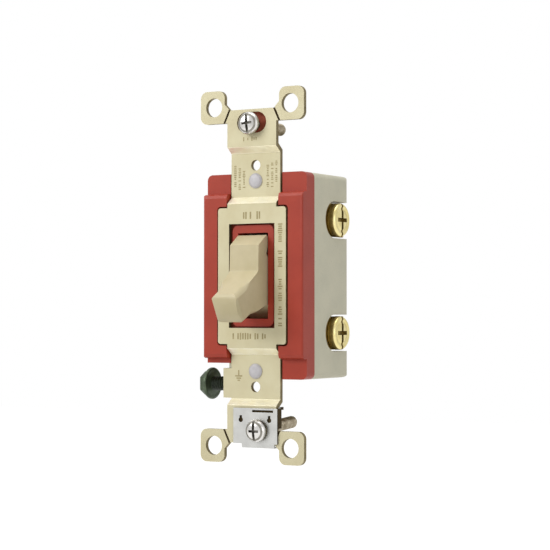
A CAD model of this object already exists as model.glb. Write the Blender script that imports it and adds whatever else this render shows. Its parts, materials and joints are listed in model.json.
import json
import math

import bmesh
import bpy
from mathutils import Matrix, Vector


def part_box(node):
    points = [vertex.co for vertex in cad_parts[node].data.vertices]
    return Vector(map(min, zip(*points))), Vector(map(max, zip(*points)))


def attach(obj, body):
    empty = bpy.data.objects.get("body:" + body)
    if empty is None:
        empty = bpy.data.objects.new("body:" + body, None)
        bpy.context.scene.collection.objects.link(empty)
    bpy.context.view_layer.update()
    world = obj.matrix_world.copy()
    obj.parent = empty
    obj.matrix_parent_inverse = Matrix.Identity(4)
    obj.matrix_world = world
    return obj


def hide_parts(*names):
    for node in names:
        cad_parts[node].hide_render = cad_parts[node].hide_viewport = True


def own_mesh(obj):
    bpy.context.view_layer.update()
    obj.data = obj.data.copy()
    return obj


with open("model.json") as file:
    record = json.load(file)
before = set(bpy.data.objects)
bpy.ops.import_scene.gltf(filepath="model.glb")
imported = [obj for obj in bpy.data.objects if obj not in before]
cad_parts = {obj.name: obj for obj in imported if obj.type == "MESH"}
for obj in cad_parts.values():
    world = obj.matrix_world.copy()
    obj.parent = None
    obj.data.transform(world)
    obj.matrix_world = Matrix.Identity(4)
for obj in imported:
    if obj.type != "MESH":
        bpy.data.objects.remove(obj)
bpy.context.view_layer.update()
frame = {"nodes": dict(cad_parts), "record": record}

MM = 0.001
scene = bpy.context.scene
scene.view_settings.view_transform = "Standard"

# --- camera: a long lens, to the right of the switch and a little below its middle ---

YAW, PITCH = math.radians(30.19), math.radians(1.29)
AIM = Vector((5.5, 3.2, 0.2)) * MM
AWAY = 482.7 * MM
lens = bpy.data.cameras.new("long_lens")
lens.sensor_width = 36
lens.lens = 116.58
lens.clip_start = 0.01
camera = bpy.data.objects.new("camera", lens)
camera.rotation_euler = (math.pi / 2 + PITCH, 0, YAW)
camera.location = AIM + camera.rotation_euler.to_matrix() @ Vector((0, 0, AWAY))
scene.collection.objects.link(camera)
scene.camera = camera


# --- helpers ---

def node(tree, kind, inputs=None, **settings):
    """Adds a node, with its settings, and its inputs given as values or as other nodes' outputs."""
    made = tree.nodes.new(kind)
    for name, value in settings.items():
        setattr(made, name, value)
    for socket, value in (inputs or {}).items():
        if isinstance(value, bpy.types.NodeSocket):
            tree.links.new(value, made.inputs[socket])
        else:
            made.inputs[socket].default_value = value
    return made


def linear(code):
    """An sRGB hex colour as linear red, green, blue and alpha."""
    parts = [int(code[i:i + 2], 16) / 255 for i in (1, 3, 5)]
    return (*[c / 12.92 if c <= 0.04045 else ((c + 0.055) / 1.055) ** 2.4 for c in parts], 1)


def seated(place, direction):
    """The matrix that stands a shape made along Z at a place in mm, pointing along a direction."""
    turn = Vector((0, 0, 1)).rotation_difference(Vector(direction).normalized())
    return Matrix.Translation(Vector(place) * MM) @ turn.to_matrix().to_4x4()


# --- materials ---

# Ends of the noise that the tones, the gloss and the flecks are spread over, and the strength of a fleck
TONE_ENDS, GLOSS_ENDS, FLECK_ENDS, FLECK_TINT = (0.35, 0.65), (0.3, 0.7), (0.66, 0.72), 0.6


def finish(name, colour, shade, mottle, grain, bump, rough, stretch=(1, 1, 1), fleck=0.0,
           fleck_colour="#000000", **sockets):
    """A surface whose colour drifts between two tones over mottle mm. Its grain, of grain mm, lifts it by
    bump mm and spreads its roughness, and flecks cover a share of it. The real grain of plate, dies and drawn
    wire is mostly finer than 0.1 mm, and is drawn coarser so that it shows."""
    made = bpy.data.materials.new(name)
    made.use_nodes = True
    tree = made.node_tree
    tree.nodes.clear()
    where = node(tree, "ShaderNodeTexCoord")
    along = node(tree, "ShaderNodeMapping", {"Vector": where.outputs["Object"], "Scale": stretch})
    drift = node(tree, "ShaderNodeTexNoise", {
        "Vector": where.outputs["Object"], "Scale": 1 / (mottle * MM), "Detail": 3.0, "Roughness": 0.55})
    spread = node(tree, "ShaderNodeMapRange", {
        "Value": drift.outputs["Fac"], "From Min": TONE_ENDS[0], "From Max": TONE_ENDS[1]})
    fine = node(tree, "ShaderNodeTexNoise", {
        "Vector": along.outputs["Vector"], "Scale": 1 / (grain * MM), "Detail": 4.0, "Roughness": 0.6})
    tone = node(tree, "ShaderNodeMix", {
        "Factor": spread.outputs["Result"], "A": linear(colour), "B": linear(shade)},
        data_type="RGBA").outputs["Result"]
    if fleck:
        spots = node(tree, "ShaderNodeMapRange", {
            "Value": fine.outputs["Fac"], "From Min": FLECK_ENDS[0] - fleck,
            "From Max": FLECK_ENDS[1] - fleck, "To Max": FLECK_TINT})
        tone = node(tree, "ShaderNodeMix", {
            "Factor": spots.outputs["Result"], "A": tone, "B": linear(fleck_colour)},
            data_type="RGBA").outputs["Result"]
    gloss = node(tree, "ShaderNodeMapRange", {
        "Value": fine.outputs["Fac"], "From Min": GLOSS_ENDS[0], "From Max": GLOSS_ENDS[1],
        "To Min": rough[0], "To Max": rough[1]})
    lift = node(tree, "ShaderNodeBump", {
        "Height": fine.outputs["Fac"], "Distance": bump * MM, "Strength": 1.0})
    skin = node(tree, "ShaderNodeBsdfPrincipled", {
        "Base Color": tone, "Roughness": gloss.outputs["Result"], "Normal": lift.outputs["Normal"],
        **sockets})
    node(tree, "ShaderNodeOutputMaterial", {"Surface": skin.outputs["BSDF"]})
    return made


# Brass-plated cold rolled steel: a pale straw metal, satin from the rolled sheet under it, with faint
# lines along the strip.
strap_plate = finish("brass_plated_steel_sheet", "#c9c2a2", "#c1b896", 9, 0.5, 0.0005, (0.54, 0.62),
                     stretch=(4, 1, 0.6), Metallic=0.38)
# The same sheet over a bend, where the die burnishes the plating: paler and brighter than the flats.
burnished = finish("burnished_plated_bend", "#fffbe6", "#faf4d8", 3, 0.4, 0.001, (0.3, 0.4),
                   stretch=(0.4, 1, 3), Metallic=0.5)
# The same sheet where the press sheared it: duller and browner, torn across its thickness.
sheared = finish("sheared_plated_edge", "#8a7d57", "#6f6341", 2.2, 0.35, 0.012, (0.5, 0.66),
                 stretch=(1, 0.3, 1), Metallic=0.4)
# Bottom of a score or a shadowed fold, where the plating is cracked and dirt stays.
scored = finish("cracked_plating_in_a_score", "#4d3f26", "#3a301c", 1.2, 0.25, 0.01, (0.65, 0.85),
                **{"Specular IOR Level": 0.15})
# Stamped ticks: the plating darkens in the bottom of a stamp.
stamped = finish("stamped_plating", "#a0936c", "#8f835c", 1.5, 0.3, 0.004, (0.55, 0.7), Metallic=0.4)
# Moulded red thermoset: dense, filled, semi-matt, with a faint orange peel from the mould.
red_moulding = finish("moulded_red_thermoset", "#a83823", "#a0331f", 7, 0.45, 0.004, (0.36, 0.5),
                      fleck=0.02, fleck_colour="#882e1c", **{"Specular IOR Level": 0.36})
# The cover's sunk faces beside the strap, which keep dust and the mould's matt skin.
red_recess = finish("red_thermoset_in_a_recess", "#7a3020", "#662619", 3, 0.45, 0.004, (0.6, 0.75),
                    **{"Specular IOR Level": 0.15})
# Moulded grey thermoset: warmer and paler than the cover, with mineral filler showing as faint flecks.
grey_moulding = finish("moulded_grey_thermoset", "#d8d4bd", "#d0cdb7", 8, 0.4, 0.005, (0.5, 0.64),
                       fleck=0.03, fleck_colour="#b5b29c", **{"Specular IOR Level": 0.3})
# Moulded ivory nylon: slightly waxy, so light softens under its surface.
ivory_nylon = finish("moulded_ivory_nylon", "#cdc19e", "#c4b892", 6, 0.6, 0.002, (0.36, 0.46),
                     **{"Specular IOR Level": 0.3, "Subsurface Weight": 0.06, "Subsurface Scale": 0.0006,
                        "Subsurface Radius": (1.0, 0.85, 0.5)})
# Bright zinc plate on steel: near neutral, with a soft mirror.
zinc = finish("bright_zinc_plated_steel", "#cfcdca", "#bfbdb9", 2.5, 0.25, 0.004, (0.2, 0.34), Metallic=1.0)
# The same plate on rolled screw threads, which the die leaves a little dirty.
zinc_thread = finish("zinc_plated_thread", "#9a917f", "#7a705e", 1.6, 0.3, 0.004, (0.32, 0.5), Metallic=1.0)
# Dirt and shade in the drive recess of a zinc plated head.
zinc_recess = finish("zinc_plated_recess", "#8f8c84", "#76736b", 1.0, 0.25, 0.004, (0.36, 0.5), Metallic=0.8)
# Upset rivet steel: peened flat, so it is paler and more even than the screws.
rivet_steel = finish("peened_zinc_plated_steel", "#b9b7b9", "#afacaf", 2.0, 0.35, 0.003, (0.5, 0.62),
                     Metallic=0.4)
# Turned brass: yellow metal with a fine grain.
brass = finish("turned_brass", "#dccf98", "#cfc083", 3.0, 0.25, 0.004, (0.24, 0.38), Metallic=1.0)
# The side and the recess of a brass head, which tarnish first.
brass_tarnish = finish("tarnished_brass", "#a08c55", "#84713d", 1.4, 0.25, 0.006, (0.4, 0.56), Metallic=0.8)
# Stamped brass of the terminal plates: duller, as it comes from the press.
brass_strip = finish("rolled_brass_strip", "#a8904f", "#8d763e", 3.0, 0.35, 0.004, (0.36, 0.5), Metallic=1.0)
# Green dyed zinc plate: nearly black green, satin.
green_zinc = finish("green_dyed_zinc_plate", "#4d5a44", "#3a4633", 2.0, 0.35, 0.006, (0.36, 0.52),
                    Metallic=0.5)
# The same dye in the threads and under the flange, where it lies thick.
green_thread = finish("green_dyed_zinc_thread", "#1f2a19", "#161f12", 1.2, 0.3, 0.006, (0.4, 0.55),
                      Metallic=0.3)
# Bright spring steel of the grounding clip: neutral and soft, rolled lines along the strip.
clip_steel = finish("bright_spring_steel", "#c0c0bd", "#b4b4b1", 4.0, 0.3, 0.002, (0.3, 0.42),
                    stretch=(0.4, 1, 3), Metallic=1.0)
# Drawn spring wire: darker grey with drawing lines.
spring_wire = finish("drawn_spring_wire", "#8f8f8f", "#7f7f7f", 1.0, 0.1, 0.002, (0.25, 0.38), Metallic=1.0)
# Silver alloy contact: white metal, cold headed.
silver = finish("silver_alloy_contact", "#dededa", "#d0d0cb", 1.2, 0.2, 0.003, (0.3, 0.45), Metallic=1.0)
# Rolled copper alloy strip: orange metal with lines along it.
copper = finish("rolled_copper_alloy", "#c58a5b", "#b3784a", 2.4, 0.25, 0.003, (0.3, 0.42),
                stretch=(3, 1, 0.5), Metallic=1.0)
# Moulded acetal: white, slippery, semi-matt.
acetal = finish("moulded_acetal", "#e6e3d6", "#dedbcd", 3.0, 0.3, 0.002, (0.34, 0.44))
# Vulcanised fibre: a red-brown paper board, matt, with a fibrous grain.
fibre = finish("vulcanised_fibre", "#b86048", "#a2503a", 1.5, 0.25, 0.012, (0.6, 0.75), stretch=(1, 4, 1),
               **{"Specular IOR Level": 0.25})

BODY = {n: b for b, group in frame["record"]["behaviour"]["bodies"].items() for n in group}


# --- building pieces ---

def part_copy(source):
    """A mesh of the CAD part with its doubles merged and its flat faces made whole."""
    shape = bmesh.new()
    shape.from_mesh(frame["nodes"][source].data)
    bmesh.ops.remove_doubles(shape, verts=shape.verts, dist=0.003 * MM)
    bmesh.ops.dissolve_limit(shape, angle_limit=math.radians(0.6), verts=shape.verts, edges=shape.edges)
    shape.faces.ensure_lookup_table()
    return shape


def round_edges(shape, radius, steps, chosen):
    """Rounds the edges for which chosen(middle, along, edge) holds. Lengths are in mm."""
    edges = []
    for edge in shape.edges:
        a, b = (v.co / MM for v in edge.verts)
        if len(edge.link_faces) == 2 and chosen((a + b) / 2, b - a, edge):
            edges.append(edge)
    bmesh.ops.bevel(shape, geom=edges, offset=radius * MM, segments=steps, profile=0.5, affect="EDGES",
                    clamp_overlap=True)


def turned(profile, steps=64):
    """A closed turned shape about Z. The profile is a list of (height, radius) in mm from pole to pole."""
    shape = bmesh.new()
    rings = []
    for height, radius in profile:
        count = steps if radius > 0 else 1
        rings.append([shape.verts.new((radius * MM * math.cos(2 * math.pi * k / count),
                                       radius * MM * math.sin(2 * math.pi * k / count), height * MM))
                      for k in range(count)])
    for one, two in zip(rings, rings[1:]):
        for k in range(steps):
            corners = [one[k % len(one)], one[(k + 1) % len(one)], two[(k + 1) % len(two)], two[k % len(two)]]
            shape.faces.new(list(dict.fromkeys(corners)))
    bmesh.ops.recalc_face_normals(shape, faces=shape.faces)
    return shape


def block(low, high, taper=0.0):
    """A block between two corners in mm. Its sides lean in by taper mm at the low end."""
    shape = bmesh.new()
    bmesh.ops.create_cube(shape, size=1)
    middle = (Vector(low) + Vector(high)) / 2
    size = Vector(high) - Vector(low)
    for v in shape.verts:
        lean = taper if v.co.z < 0 else 0
        v.co = Vector(((size.x - 2 * lean) * v.co.x, (size.y - 2 * lean) * v.co.y, size.z * v.co.z))
        v.co = (v.co + middle) * MM
    return shape


def mesh_of(shape, name):
    """The shape as a mesh. The shape is used up."""
    made = bpy.data.meshes.new(name)
    shape.to_mesh(made)
    shape.free()
    return made


def baked(mesh, name, *modifiers):
    """The mesh after its modifiers, each given as (kind, settings)."""
    holder = bpy.data.objects.new(name, mesh)
    scene.collection.objects.link(holder)
    for kind, settings in modifiers:
        made = holder.modifiers.new(kind, kind)
        for key, value in settings.items():
            setattr(made, key, value)
    result = bpy.data.meshes.new_from_object(holder.evaluated_get(bpy.context.evaluated_depsgraph_get()))
    bpy.data.objects.remove(holder)
    return result


def carved(mesh, name, cutters):
    """The mesh less each cutter shape."""
    for cutter in cutters:
        tool = bpy.data.objects.new("tool", mesh_of(cutter, "tool"))
        scene.collection.objects.link(tool)
        mesh = baked(mesh, name, ("BOOLEAN", {"object": tool, "operation": "DIFFERENCE", "solver": "EXACT"}))
        bpy.data.objects.remove(tool)
    return mesh


def joined(*meshes):
    """One shape of several meshes. Each keeps its material number."""
    shape = bmesh.new()
    for mesh in meshes:
        shape.from_mesh(mesh)
    return shape


def piece(name, shape, source, materials, edge=0.12, bevel_steps=2, angle=32, at=None, paint=None,
          replaces=True):
    """Makes a finished piece that rides with a CAD part, and stands for it. Edges sharper than
    the angle are broken by edge mm. paint(middle, normal) gives a face its place in the materials."""
    mesh = mesh_of(shape, name) if isinstance(shape, bmesh.types.BMesh) else shape
    for material in materials:
        mesh.materials.append(material)
    if paint:
        for face in mesh.polygons:
            face.material_index = paint(face.center / MM, face.normal)
    if at is not None:
        mesh.transform(at)
    mesh.shade_smooth()
    mesh.set_sharp_from_angle(angle=math.radians(angle))
    if edge:
        numbers = {"width": edge * MM, "segments": bevel_steps, "limit_method": "ANGLE",
                   "angle_limit": math.radians(angle), "harden_normals": True, "use_clamp_overlap": True}
        mesh = baked(mesh, name, ("BEVEL", numbers), ("WEIGHTED_NORMAL", {"keep_sharp": True, "weight": 90}))
    mesh.name = name
    made = bpy.data.objects.new(name, mesh)
    scene.collection.objects.link(made)
    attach(made, BODY[source])
    if replaces:
        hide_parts(source)
    return made


def grown(tree, name, material, **values):
    """The plain mesh that a geometry tree makes from its named inputs."""
    holder = bpy.data.objects.new(name, bpy.data.meshes.new(name))
    scene.collection.objects.link(holder)
    made = holder.modifiers.new("grow", "NODES")
    made.node_group = tree
    numbers = {s.name: s.identifier for s in tree.interface.items_tree if s.in_out == "INPUT"}
    for key, value in {"Material": material, **values}.items():
        made[numbers[key]] = value
    result = bpy.data.meshes.new_from_object(holder.evaluated_get(bpy.context.evaluated_depsgraph_get()))
    bpy.data.objects.remove(holder)
    shape = bmesh.new()
    shape.from_mesh(result)
    bmesh.ops.recalc_face_normals(shape, faces=shape.faces)
    return mesh_of(shape, name)


# --- geometry trees ---

def new_tree(name, inputs):
    """An empty geometry tree with these inputs, a material input and one geometry output."""
    tree = bpy.data.node_groups.new(name, "GeometryNodeTree")
    for label, kind, value in inputs:
        socket = tree.interface.new_socket(name=label, in_out="INPUT", socket_type=kind)
        socket.default_value = value
    tree.interface.new_socket(name="Material", in_out="INPUT", socket_type="NodeSocketMaterial")
    tree.interface.new_socket(name="Geometry", in_out="OUTPUT", socket_type="NodeSocketGeometry")
    return tree, node(tree, "NodeGroupInput").outputs


def close_tree(tree, given, geometry):
    """Ends a tree: its geometry is made real and given the material."""
    real = node(tree, "GeometryNodeRealizeInstances", {"Geometry": geometry})
    clad = node(tree, "GeometryNodeSetMaterial", {"Geometry": real.outputs[0], "Material": given["Material"]})
    node(tree, "NodeGroupOutput", {"Geometry": clad.outputs[0]})


def thread_tree():
    """A right-hand thread rolled on a rod along Z, closed at both ends and chamfered at its tip."""
    points_round, rows_per_turn = 37, 9.0
    sizes = [("Radius", 0.0017), ("Pitch", 0.0008), ("Depth", 0.0003), ("Length", 0.02)]
    tree, given = new_tree("rolled_thread", [(label, "NodeSocketFloat", size) for label, size in sizes])
    sheet = node(tree, "GeometryNodeMeshGrid", {"Size X": 1.0, "Size Y": 1.0, "Vertices X": points_round})
    spot = node(tree, "ShaderNodeSeparateXYZ", {0: node(tree, "GeometryNodeInputPosition").outputs[0]})
    known = {"x": spot.outputs[0], "y": spot.outputs[1], **{label: given[label] for label, size in sizes}}
    for made, operation, *terms in (
            ("turns", "DIVIDE", "Length", "Pitch"),
            ("rows", "MULTIPLY", "turns", rows_per_turn),
            ("around", "ADD", "x", 0.5),
            ("along", "ADD", "y", 0.5),
            # The first and last few rows fold onto the ends, where they close to a pole
            ("run", "MULTIPLY_ADD", "along", 1.08, -0.04),
            ("from start", "MAXIMUM", "run", 0.0),
            ("to end", "MINIMUM", "from start", 1.0),
            ("height", "MULTIPLY", "to end", "Length"),
            # The groove climbs one pitch in each turn
            ("pitches", "DIVIDE", "height", "Pitch"),
            ("lag", "SUBTRACT", "pitches", "around"),
            ("phase", "FRACT", "lag"),
            ("offset", "SUBTRACT", "phase", 0.5),
            ("ramp", "ABSOLUTE", "offset"),
            ("groove", "MULTIPLY_ADD", "ramp", -2.6, 1.15),
            ("flat crest", "MAXIMUM", "groove", 0.0),
            ("flat root", "MINIMUM", "flat crest", 1.0),
            ("dip", "MULTIPLY", "flat root", "Depth"),
            ("flank", "SUBTRACT", "Radius", "dip"),
            ("to tip", "SUBTRACT", "Length", "height"),
            ("cone", "MULTIPLY_ADD", "Radius", 0.66, "to tip"),
            ("skin", "MINIMUM", "flank", "cone"),
            ("past start", "GREATER_THAN", "along", 0.001),
            ("before end", "LESS_THAN", "along", 0.999),
            ("open start", "MULTIPLY", "skin", "past start"),
            ("radius", "MULTIPLY", "open start", "before end"),
            ("turn", "MULTIPLY", "around", 2 * math.pi),
            ("cosine", "COSINE", "turn"),
            ("sine", "SINE", "turn"),
            ("side", "MULTIPLY", "radius", "cosine"),
            ("depth", "MULTIPLY", "radius", "sine")):
        put = {i: known[v] if isinstance(v, str) else v for i, v in enumerate(terms)}
        known[made] = node(tree, "ShaderNodeMath", put, operation=operation).outputs[0]
    tree.links.new(known["rows"], sheet.inputs["Vertices Y"])
    bent = node(tree, "ShaderNodeCombineXYZ", {0: known["side"], 1: known["depth"], 2: known["height"]})
    moved = node(tree, "GeometryNodeSetPosition", {"Geometry": sheet.outputs[0], "Position": bent.outputs[0]})
    closed = node(tree, "GeometryNodeMergeByDistance", {"Geometry": moved.outputs[0], "Distance": 0.005 * MM})
    close_tree(tree, given, closed.outputs[0])
    return tree


def coil_tree():
    """A coil spring along Z from bent wire, closed at both ends."""
    tree, given = new_tree("coil_spring", [
        ("Coil radius", "NodeSocketFloat", 0.0011), ("Wire radius", "NodeSocketFloat", 0.0003),
        ("Height", "NodeSocketFloat", 0.007), ("Turns", "NodeSocketFloat", 8.0)])
    path = node(tree, "GeometryNodeCurveSpiral", {
        "Resolution": 28, "Rotations": given["Turns"], "Height": given["Height"],
        "Start Radius": given["Coil radius"], "End Radius": given["Coil radius"]})
    wire = node(tree, "GeometryNodeCurvePrimitiveCircle", {"Resolution": 12, "Radius": given["Wire radius"]})
    drawn = node(tree, "GeometryNodeCurveToMesh", {
        "Curve": path.outputs[0], "Profile Curve": wire.outputs[0], "Fill Caps": True})
    close_tree(tree, given, drawn.outputs[0])
    return tree


def tick_tree():
    """A row of plain stamped ticks in the XZ plane, each a shallow ridge. Some are left out by chance."""
    share_kept, shortest, thickness = 0.74, 0.5, 0.05 * MM
    tree, given = new_tree("stamped_ticks", [
        ("Width", "NodeSocketFloat", 0.006), ("Tick", "NodeSocketFloat", 0.0011),
        ("Stroke", "NodeSocketFloat", 0.0003), ("Count", "NodeSocketInt", 10), ("Seed", "NodeSocketInt", 1)])
    half = node(tree, "ShaderNodeMath", {0: given["Width"], 1: -2.0}, operation="DIVIDE")
    step = node(tree, "ShaderNodeMath", {0: given["Width"], 1: given["Count"]}, operation="DIVIDE")
    start = node(tree, "ShaderNodeCombineXYZ", {0: half.outputs[0]})
    stride = node(tree, "ShaderNodeCombineXYZ", {0: step.outputs[0]})
    line = node(tree, "GeometryNodeMeshLine", {
        "Count": given["Count"], "Start Location": start.outputs[0], "Offset": stride.outputs[0]})
    kept = node(tree, "FunctionNodeRandomValue", {"Probability": share_kept, "Seed": given["Seed"]},
                data_type="BOOLEAN")
    tall = node(tree, "FunctionNodeRandomValue", {2: shortest, 3: 1.0, "Seed": given["Seed"]},
                data_type="FLOAT")
    size = node(tree, "ShaderNodeCombineXYZ", {0: given["Stroke"], 1: thickness, 2: given["Tick"]})
    bar = node(tree, "GeometryNodeMeshCube", {"Size": size.outputs[0]})
    scale = node(tree, "ShaderNodeCombineXYZ", {0: 1.0, 1: 1.0, 2: tall.outputs[1]})
    placed = node(tree, "GeometryNodeInstanceOnPoints", {
        "Points": line.outputs[0], "Selection": kept.outputs[3], "Instance": bar.outputs[0],
        "Scale": scale.outputs[0]})
    close_tree(tree, given, placed.outputs[0])
    return tree


THREAD, COIL, TICKS = thread_tree(), coil_tree(), tick_tree()

# An edge turned further than this, in radians, is a corner. A face whose normal has less than EDGE_ON along Y
# stands edge on to the front, and one with more than FLAT lies flat.
CORNER, EDGE_ON, FLAT = 0.5, 0.35, 0.9

# --- strap ---

# How far the strap's two legs lie behind its middle
DROP = 2.2
# The stretch up each leg that holds the bends, the window's half sizes with its walls, and where the ears'
# scored necks begin, all from the middle
BENDS_Z, WINDOW_X, WINDOW_Z, NECK_X, NECK_Z = (18.9, 36), 7.3, 14.3, (6, 10), 41.5
bends = part_copy("yoke_strap")


def on_bend(middle, along, edge):
    """An edge across the strap, over 2 mm long, where it is bent."""
    across = abs(along.x) > 0.97 * along.length and along.length > 2
    return across and BENDS_Z[0] < abs(middle.z) < BENDS_Z[1] and edge.calc_face_angle(0) > CORNER


def strap_finish(middle, normal):
    """0 is a flat, 1 a sheared edge, 2 a score or the sheared edge of the window, 3 a bend."""
    at_neck = abs(middle.z) > NECK_Z and NECK_X[0] < abs(middle.x) < NECK_X[1]
    if abs(normal.y) < EDGE_ON:
        return 2 if abs(middle.x) < WINDOW_X and abs(middle.z) < WINDOW_Z else 1
    if abs(normal.y) < FLAT:
        return 2 if at_neck else 3 if normal.y < 0 else 0
    return 0


round_edges(bends, 0.5, 4, on_bend)
piece("strap_sheet", bends, "yoke_strap", [strap_plate, sheared, scored, burnished], edge=0.1,
      paint=strap_finish)

ticks = []
# Place, turn, width, tallness, stroke, count and seed of each row: above and below the window and on the
# upper end, then up the left and the right of the upper leg, then down the right limb
rows = [((0, 0, 16.4), 0, 6.4, 2.1, 0.42, 9, 3), ((0, 0, -16.4), 0, 11.6, 2.1, 0.42, 15, 5),
        ((-0.2, 0, 37.2), 0, 4.6, 1.3, 0.3, 7, 7)]
rows += [((x, DROP, 26.6 - 0.3 * k), 90, 7.0 - 0.9 * k, 0.85, 0.26, 14 - k, 11 + k)
         for k, x in enumerate((-6.5, -5.1, -3.7))]
rows += [((x, DROP, 26.9 + 0.2 * k), 90, 6.2 + 0.6 * k, 0.85, 0.26, 13 + k, 21 + k)
         for k, x in enumerate((3.8, 5.2, 6.5))]
rows += [((8.95, 0, z), 90, width, 1.5, 0.36, count, 31 + count)
         for z, width, count in ((11.2, 5.2, 9), (4.2, 4.6, 8), (-7.6, 13.0, 21))]
for place, turn, width, tall, stroke, count, seed in rows:
    row = grown(TICKS, "tick_row", stamped, Width=width * MM, Tick=tall * MM, Stroke=stroke * MM, Count=count,
                Seed=seed)
    row.transform(Matrix.Translation(Vector(place) * MM) @ Matrix.Rotation(math.radians(turn), 4, "Y"))
    ticks.append(row)
# Earth symbol beside the tab: a stem and three shorter and shorter bars, barely proud of the sheet
EARTH_Z, PROUD, SUNK = -27.9, 0.025, 0.02
for left, right, bottom, top in ((-5.55, -5.2, 0.8, 2.2), (-6.5, -4.25, 0.45, 0.8), (-6.1, -4.65, -0.15, 0.2),
                                 (-5.75, -5.0, -0.75, -0.4)):
    bar = block((left, DROP - PROUD, bottom + EARTH_Z), (right, DROP + SUNK, top + EARTH_Z))
    ticks.append(mesh_of(bar, "earth_bar"))
piece("strap_stamps", joined(*ticks), "yoke_strap", [stamped], edge=0, replaces=False)

# --- housing ---

# Depth of the seam between cover and base, and the depth and half length of the pockets beside the strap
SEAM, POCKET_Y, POCKET_Z = 6.9, (1.2, 1.4), 19.5
# How far in from the cover's sides and from its ends an edge still belongs to its rim
RIM_X, RIM_Z = 0.6, 1.7
cover = part_copy("front_cover")


def outer_edge(middle, along, edge):
    """An outer corner of the cover, in front of its seam with the base."""
    low, high = (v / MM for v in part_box("front_cover"))
    rim = min(middle.x - low.x, high.x - middle.x) < RIM_X or min(middle.z - low.z, high.z - middle.z) < RIM_Z
    return rim and middle.y < SEAM - 0.3 and edge.calc_face_angle(0) > CORNER


def cover_finish(middle, normal):
    """1 is the floor of a pocket beside the strap, 0 all else."""
    sunk = normal.y < -FLAT and POCKET_Y[0] < middle.y < POCKET_Y[1] and abs(middle.z) < POCKET_Z
    return 1 if sunk else 0


round_edges(cover, 0.3, 3, outer_edge)
piece("cover_moulding", cover, "front_cover", [red_moulding, red_recess], edge=0.14, paint=cover_finish)
piece("base_moulding", part_copy("rear_base"), "rear_base", [grey_moulding], edge=0.14)

# --- rivets: a flat head with a rolled rim in front, a rolled over end behind ---

# (height, radius) of the head, and of the rolled end with its heights from the rivet's far end
RIVET_HEAD = [(0, 0), (0, 1.45), (0.04, 1.6), (0.15, 1.75), (0.24, 1.85), (0.3, 2.0), (0.4, 2.08),
              (0.5, 2.05), (0.55, 1.9), (0.56, 1.5)]
RIVET_END = [(-0.66, 1.5), (-0.64, 2.1), (-0.5, 2.28), (-0.25, 2.2), (-0.06, 1.8), (0, 1.4), (-0.08, 1.0),
             (-0.35, 0.82), (-1.2, 0.76), (-1.35, 0)]
for source in ("rivet_upper", "rivet_lower"):
    low, high = (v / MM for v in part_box(source))
    centre = (low.x + high.x) / 2, low.y, (low.z + high.z) / 2
    reach = high.y - low.y
    profile = RIVET_HEAD + [(reach + height, radius) for height, radius in RIVET_END]
    piece(source.replace("rivet", "peened_rivet"), turned(profile), source, [rivet_steel], edge=0,
          at=seated(centre, (0, 1, 0)))

# --- toggle and mechanism ---

REST = math.radians(28.5)
PIVOT = Vector((0, 4.5, 0))
inward = Vector((0, math.cos(REST), math.sin(REST)))
SPRING_SEAT = PIVOT + inward * 2.15
piece("lever_moulding", part_copy("toggle_lever"), "toggle_lever", [ivory_nylon], edge=0.3, bevel_steps=3)

coil = grown(COIL, "coil", spring_wire, **{
    "Coil radius": 1.1 * MM, "Wire radius": 0.28 * MM, "Height": 7.1 * MM, "Turns": 8.0})
spring = piece("wound_spring", coil, "main_spring", [spring_wire], edge=0, angle=60,
               at=seated(SPRING_SEAT, inward))
# The coil shortens as the plunger goes in
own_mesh(spring)
for name, source, material, edge in (
        ("plunger_moulding", "spring_plunger", acetal, 0.1),
        ("rocker_strip", "rocker_arm", copper, 0.1),
        ("rocker_pivot_pin", "rocker_pin", spring_wire, 0.12),
        ("moving_contact_button", "moving_contact", silver, 0.18),
        ("fixed_contact_button", "fixed_contact", silver, 0.15),
        ("line_terminal_strip", "line_terminal", brass_strip, 0.1),
        ("load_terminal_strip", "load_terminal", brass_strip, 0.1),
        ("clamp_upper_stamping", "clamp_plate_upper", brass_strip, 0.15),
        ("clamp_lower_stamping", "clamp_plate_lower", brass_strip, 0.15),
        ("washer_upper_punching", "retaining_washer_upper", fibre, 0.1),
        ("washer_lower_punching", "retaining_washer_lower", fibre, 0.1)):
    piece(name, part_copy(source), source, [material], edge=edge)

# --- grounding clip ---

# Where the fold at its right begins, how far each side the keyholes reach, and the foot of the plate's holes
FOLD_X, HOLES_X, HOLES_Z = 7.9, 7, -41


def clip_finish(middle, normal):
    """1 is the outside of the fold or the wall of a hole, 0 bright steel."""
    fold = normal.x > FLAT and middle.x > FOLD_X
    hole = abs(normal.y) < 0.5 and middle.z > HOLES_Z and abs(middle.x) < HOLES_X
    return 1 if fold or hole else 0


piece("clip_stamping", part_copy("grounding_clip"), "grounding_clip", [clip_steel, scored], edge=0.06,
      paint=clip_finish)
# The clip stands off the strap, so its two keyholes and its slot show a dark gap
GAP_Y = -0.045, -0.005
gap = [block((x - 0.9, GAP_Y[0], -39.9), (x + 0.9, GAP_Y[1], -37.5)) for x in (-3.1, 5.8)]
gap.append(block((0.3, GAP_Y[0], -37.1), (7.2, GAP_Y[1], -36.1)))
piece("clip_gap_lining", joined(*[mesh_of(g, "gap") for g in gap]), "grounding_clip", [scored], edge=0,
      replaces=False)

# --- screws: a headed blank with its drive recess, and a rolled thread ---

# How far a cutter reaches out from a screw's axis, past any head, and above a head's top
PAST, ABOVE = 8, 1
# A face this far below the head's underside is thread, and one this far below its top is in a recess
UNDERSIDE, RECESS = 0.06, 0.42
# A face whose normal has less than this along the axis faces the front, one with a size under SIDEWAYS is a
# side, and a recess lies within this share of the head's radius
FACES_FRONT, SIDEWAYS, WITHIN = -0.8, 0.3, 0.8


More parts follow.
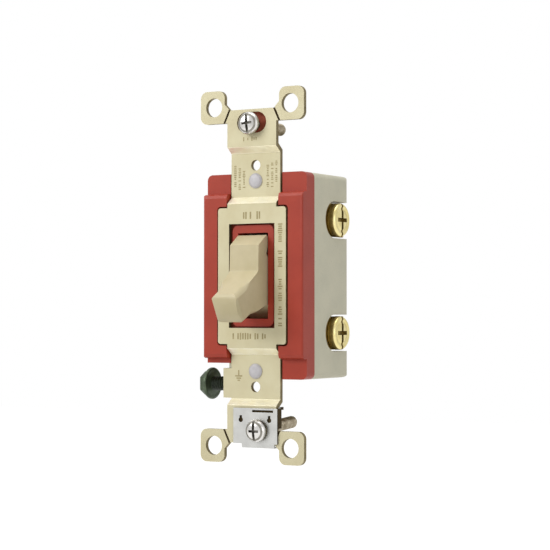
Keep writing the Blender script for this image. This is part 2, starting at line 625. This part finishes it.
def screw(name, source, place, direction, head, drives, thread, metals, collar=()):
    """A screw that points along a direction from its head's underside. The head is a profile of (height,
    radius), the drives are cutters, the thread is (radius, pitch, depth, length), and the metals are for the
    head, the thread, and the head's side and recess. The collar is meshes that join the head."""
    top, wide = min(height for height, radius in head), max(radius for height, radius in head)
    blank = carved(mesh_of(turned(head), name), name, drives)
    radius, pitch, depth, length = thread
    rod = grown(THREAD, name + "_thread", metals[1], Radius=radius * MM, Pitch=pitch * MM, Depth=depth * MM,
                Length=length * MM)

    def screw_finish(middle, normal):
        """0 is the head's front, 1 the thread, 2 the head's side or the floor of its recess."""
        if middle.z > UNDERSIDE:
            return 1
        floor = normal.z < FACES_FRONT and middle.z > top + RECESS and middle.xy.length < WITHIN * wide
        return 2 if floor or abs(normal.z) < SIDEWAYS else 0

    return piece(name, joined(blank, rod, *collar), source, metals, edge=0, angle=38,
                 at=seated(place, direction), paint=screw_finish)


def drive_cross(top, slot_w, slot_deep, arm, arm_w, arm_deep, turn):
    """Cutters of a combined slot and cross recess in a head whose top is at a height."""
    tools = [block((-PAST, -slot_w / 2, top - ABOVE), (PAST, slot_w / 2, top + slot_deep)),
             block((-arm, -arm_w / 2, top - ABOVE), (arm, arm_w / 2, top + arm_deep)),
             block((-arm_w / 2, -arm, top - ABOVE), (arm_w / 2, arm, top + arm_deep))]
    spin = Matrix.Rotation(math.radians(turn), 3, "Z")
    for tool in tools:
        bmesh.ops.rotate(tool, verts=tool.verts, cent=(0, 0, 0), matrix=spin)
    return tools


TERM_R, TERM_HEAD_R, TERM_HEAD_T = 2.4, 4.65, 2.4
TERM_HEAD = [(0.05, 0), (0.0, 2.3), (0.0, 4.3), (-0.12, 4.55), (-0.3, TERM_HEAD_R), (-1.5, TERM_HEAD_R),
             (-1.85, 4.58), (-2.15, 4.4), (-2.33, 4.2), (-TERM_HEAD_T, 3.95), (-2.38, 3.7), (-2.2, 3.45),
             (-2.14, 3.1), (-2.2, 2.8), (-2.34, 2.6), (-TERM_HEAD_T, 2.3), (-TERM_HEAD_T, 0)]
for source, name in (("terminal_screw_upper", "binding_screw_upper"),
                     ("terminal_screw_lower", "binding_screw_lower")):
    low, high = (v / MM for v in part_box(source))
    seat = (high.x - TERM_HEAD_T, (low.y + high.y) / 2, (low.z + high.z) / 2)
    drives = drive_cross(-TERM_HEAD_T, 0.85, 0.7, 2.6, 1.1, 1.4, 0)
    screw(name, source, seat, (-1, 0, 0), TERM_HEAD, drives, (TERM_R, 0.79, 0.42, seat[0] - low.x),
          [brass, brass, brass_tarnish])

BOX_R, BOX_HEAD_R, BOX_HEAD_T, BOX_LEN, BOX_SPACING = 1.7, 3.1, 1.9, 20, 83.34
BOX_HEAD = [(0.05, 0), (0, 1.6), (0, 2.8), (-0.08, 3.0), (-0.25, BOX_HEAD_R), (-0.55, 3.08), (-0.95, 2.9),
            (-1.3, 2.6), (-1.6, 2.1), (-1.8, 1.5), (-1.88, 0.8), (-BOX_HEAD_T, 0)]
LEAN = math.radians(4)
upper_at = Vector((0, -1.2, BOX_SPACING / 2 - 0.4))
lower_at = Vector((2.2, -1, -BOX_SPACING / 2 - 0.1))
for source, name, place, direction in (
        ("mounting_screw_upper", "box_screw_upper", upper_at, (-math.sin(LEAN), math.cos(LEAN), 0)),
        ("mounting_screw_lower", "box_screw_lower", lower_at, (0, math.cos(LEAN), math.sin(LEAN)))):
    drives = drive_cross(-BOX_HEAD_T, 0.75, 0.8, 1.5, 0.65, 1.35, 90)
    screw(name, source, place, direction, BOX_HEAD, drives, (BOX_R, 0.794, 0.32, BOX_LEN),
          [zinc, zinc_thread, zinc_recess])

low, high = (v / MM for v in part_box("ground_screw"))
SEAT_X, FLANGE, HEX_R, EARTH_R = -16, 1.2, 3.65, 2.0
ground_at = (SEAT_X, (low.y + high.y) / 2, (low.z + high.z) / 2)
top = low.x - SEAT_X
flange = [(0.02, 0), (0.02, 2.4), (-0.12, 2.9), (-0.12, 3.5), (0, 3.95), (-0.1, 4.25), (-0.35, 4.4),
          (-0.8, 4.38), (-1.1, 4.2), (-FLANGE, 3.7), (-FLANGE, 0)]
# The hexagon starts a little inside the flange, and its corners are chamfered at the top
hexagon = turned([(-FLANGE + 0.05, 0), (-FLANGE + 0.05, HEX_R), (top + 0.35, HEX_R), (top, HEX_R - 0.45),
                  (top, 0)], 6)
hexagon = carved(mesh_of(hexagon, "hex"), "hex",
                 [block((-PAST, -0.6, top - ABOVE), (PAST, 0.6, top + 0.85))])
screw("earth_screw", "ground_screw", ground_at, (1, 0, 0), flange, [],
      (EARTH_R, 0.794, 0.35, high.x - SEAT_X), [green_zinc, green_thread, green_zinc], collar=[hexagon])

# --- studio ---

AMBIENT, BOARD_GLOW = 0.44, 0.8
world = bpy.data.worlds.new("white_room")
scene.world = world
world.use_nodes = True
sky = world.node_tree
sky.nodes.clear()
rays = node(sky, "ShaderNodeLightPath").outputs
seen = node(sky, "ShaderNodeMath", {0: rays["Is Camera Ray"], 1: rays["Is Glossy Ray"]}, operation="ADD")
shown = node(sky, "ShaderNodeMath", {0: seen.outputs[0], 1: rays["Is Transmission Ray"]}, operation="ADD",
             use_clamp=True)
dim = node(sky, "ShaderNodeBackground", {"Color": (1, 1, 1, 1), "Strength": AMBIENT})
white = node(sky, "ShaderNodeBackground", {"Color": (1, 1, 1, 1), "Strength": 1.0})
both = node(sky, "ShaderNodeMixShader", {0: shown.outputs[0], 1: dim.outputs[0], 2: white.outputs[0]})
node(sky, "ShaderNodeOutputWorld", {"Surface": both.outputs[0]})

# Painted board: matt white, lifted a little where it is seen so that it runs into the white room.
board = bpy.data.materials.new("matt_white_board")
board.use_nodes = True
tree = board.node_tree
tree.nodes.clear()
rays = node(tree, "ShaderNodeLightPath").outputs
seen = node(tree, "ShaderNodeMath", {0: rays["Is Camera Ray"], 1: rays["Is Glossy Ray"]}, operation="ADD")
shown = node(tree, "ShaderNodeMath", {0: seen.outputs[0], 1: BOARD_GLOW}, operation="MULTIPLY")
where = node(tree, "ShaderNodeTexCoord")
grain = node(tree, "ShaderNodeTexNoise", {"Vector": where.outputs["Object"], "Scale": 1 / (4 * MM)})
tone = node(tree, "ShaderNodeMix", {
    "Factor": grain.outputs["Fac"], "A": linear("#dddcda"), "B": linear("#d9d8d6")}, data_type="RGBA")
skin = node(tree, "ShaderNodeBsdfPrincipled", {
    "Base Color": tone.outputs["Result"], "Roughness": 0.9, "Specular IOR Level": 0.0,
    "Emission Color": (1, 1, 1, 1), "Emission Strength": shown.outputs[0]})
node(tree, "ShaderNodeOutputMaterial", {"Surface": skin.outputs["BSDF"]})
FLOOR_Z, FLOOR_HALF = -0.3, 4.0
sheet = bmesh.new()
sheet.faces.new([sheet.verts.new((x * FLOOR_HALF, y * FLOOR_HALF, FLOOR_Z))
                 for x, y in ((-1, -1), (1, -1), (1, 1), (-1, 1))])
floor = bpy.data.objects.new("floor", mesh_of(sheet, "floor"))
floor.data.materials.append(board)
scene.collection.objects.link(floor)


def softbox(name, place, size, power):
    """A square lamp at a place in metres that faces the switch."""
    lamp = bpy.data.lights.new(name, "AREA")
    lamp.size = size
    lamp.energy = power
    made = bpy.data.objects.new(name, lamp)
    made.location = place
    made.rotation_euler = (-Vector(place)).to_track_quat("-Z", "Y").to_euler()
    scene.collection.objects.link(made)


softbox("key", (-0.6, -0.8, 0.55), 0.6, 6.6)
softbox("top", (0.05, -0.05, 0.9), 0.7, 3.5)
softbox("fill", (1.0, -0.6, 0.15), 0.6, 1.8)
